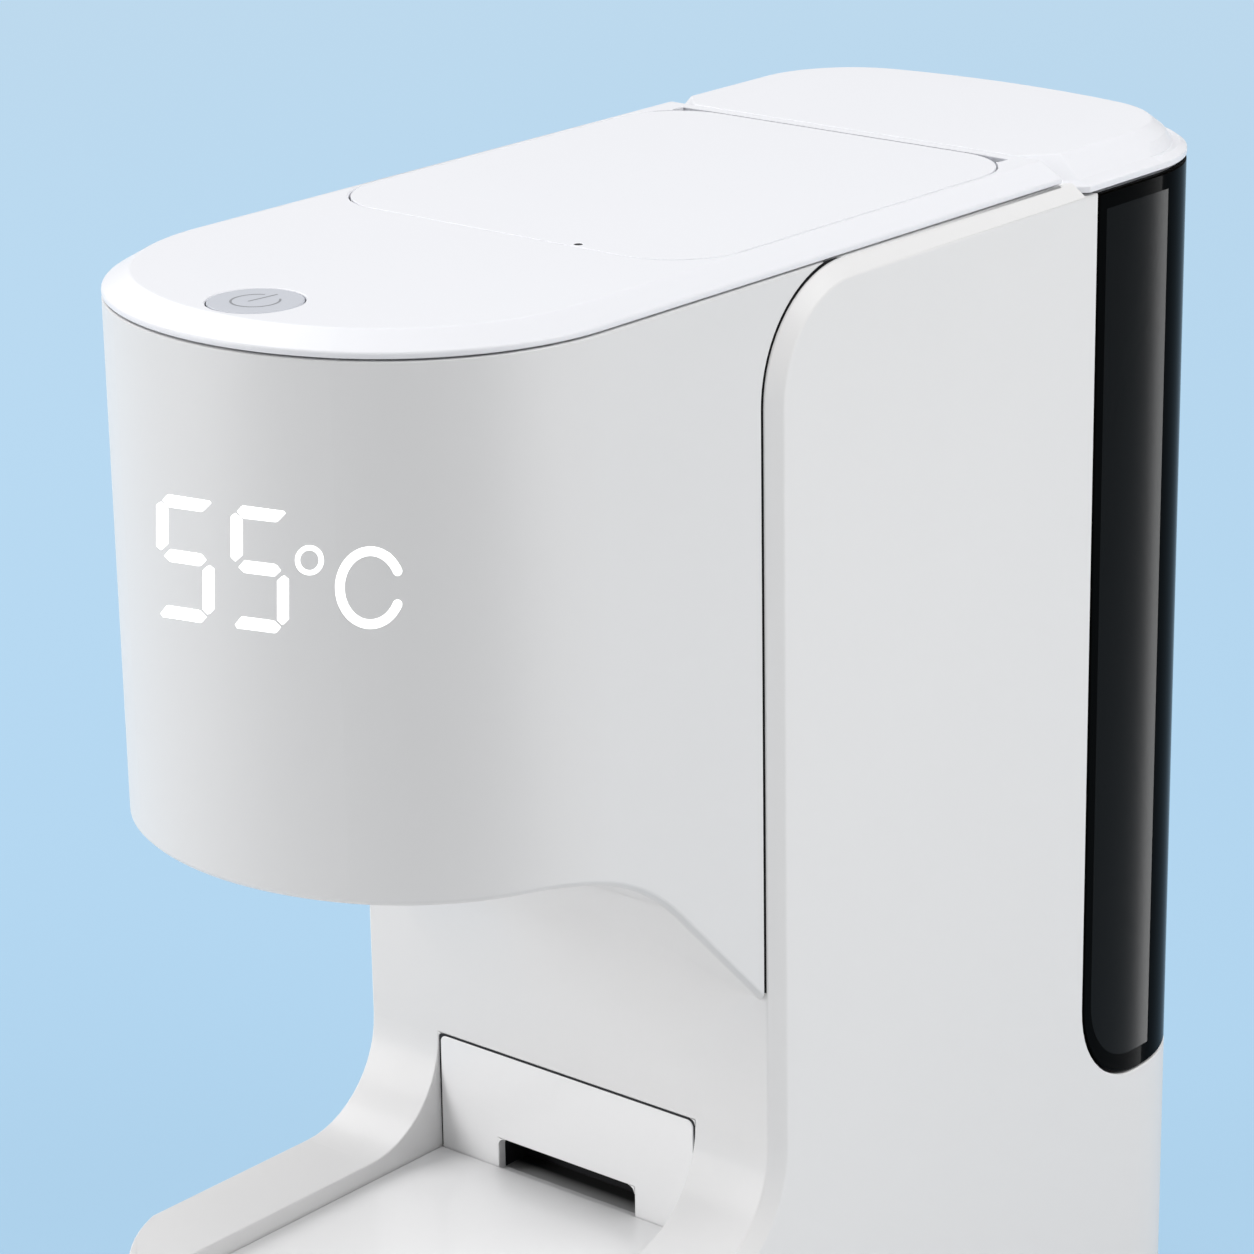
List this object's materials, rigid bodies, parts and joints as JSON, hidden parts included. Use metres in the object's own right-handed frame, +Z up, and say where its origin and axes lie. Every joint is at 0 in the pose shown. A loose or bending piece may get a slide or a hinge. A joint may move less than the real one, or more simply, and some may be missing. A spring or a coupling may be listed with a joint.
{
  "type": "formula water dispenser",
  "caption": "Counter-top formula water dispenser: rounded head over a bottle space, rear lift-out water tank with cap, hinged hatch, power button and slide-out drip tray.",
  "frame": {"origin": "on the surface that the feet stand on, under the middle of the outline", "axes": "+Z up, -Y towards the front of the head, +X to the right seen from the front"},
  "size_m": [0.146, 0.342, 0.368],
  "materials": {
    "white_body": "satin white moulded plastic",
    "white_head": "satin white shell with a soft sheen",
    "white_cover": "satin white, slightly glossier on top",
    "smoked_tank": "near-black smoked, high gloss",
    "button_face": "pale blue-grey with a light rim",
    "white_tray": "satin white",
    "light_plastic": "light grey moulded",
    "dark_plastic": "dark moulded",
    "silicone": "soft translucent grey silicone",
    "rubber_foot": "matt dark rubber",
    "steel": "brushed steel",
    "frame_steel": "grey painted sheet",
    "board": "green circuit board"
  },
  "bodies": {
    "body": {"main_housing": "white_body", "head_shell": "white_head", "head_floor": "white_head", "top_cover": "white_cover", "nozzle_collar": "light_plastic", "filter_well": "light_plastic", "filter_cartridge": "light_plastic", "base_plate": "light_plastic", "water_pump": "dark_plastic", "pump_bracket": "dark_plastic", "display_mask": "dark_plastic", "button_switch": "dark_plastic", "power_inlet": "dark_plastic", "heater_end_caps": "dark_plastic", "tank_socket": "dark_plastic", "inlet_hose": "silicone", "pump_hose": "silicone", "outlet_hose": "silicone", "outlet_nozzle": "silicone", "socket_seal": "silicone", "rubber_feet": "rubber_foot", "heater_tube": "steel", "heater_clamps": "steel", "lid_hinge_pin": "steel", "temperature_sensor": "steel", "base_screws": "steel", "inner_frame": "frame_steel", "control_board": "board", "display_board": "board", "power_board": "board"},
    "button": {"power_button": "button_face"},
    "lid": {"hatch_lid": "white_cover", "lid_seal": "silicone"},
    "tank": {"water_tank": "smoked_tank", "valve_body": "dark_plastic", "valve_stem": "dark_plastic", "valve_spring": "steel"},
    "cap": {"tank_cap": "white_cover", "cap_seal": "silicone"},
    "tray": {"drip_tray": "white_tray"},
    "plate": {"drip_plate": "white_tray"}
  },
  "joints": [
    {"name": "button_press", "type": "slide", "parent": "body", "child": "button", "axis": [0, 0, -1], "range_m": [0, 0.0012], "stiffness_N_per_m": 800, "springref_m": -0.0012},
    {"name": "lid_hinge", "type": "hinge", "parent": "body", "child": "lid", "pos_m": [0, 0.0785, 0.366], "axis": [-1, 0, 0], "range_deg": [0, 90]},
    {"name": "tank_lift", "type": "slide", "parent": "body", "child": "tank", "axis": [0, 0, 1], "range_m": [0, 0.28]},
    {"name": "cap_lift", "type": "slide", "parent": "tank", "child": "cap", "axis": [0, 0, 1], "range_m": [0, 0.03]},
    {"name": "tray_slide", "type": "slide", "parent": "body", "child": "tray", "axis": [0, -1, 0], "range_m": [0, 0.135]},
    {"name": "plate_lift", "type": "slide", "parent": "tray", "child": "plate", "axis": [0, 0, 1], "range_m": [0, 0.03]}
  ]
}
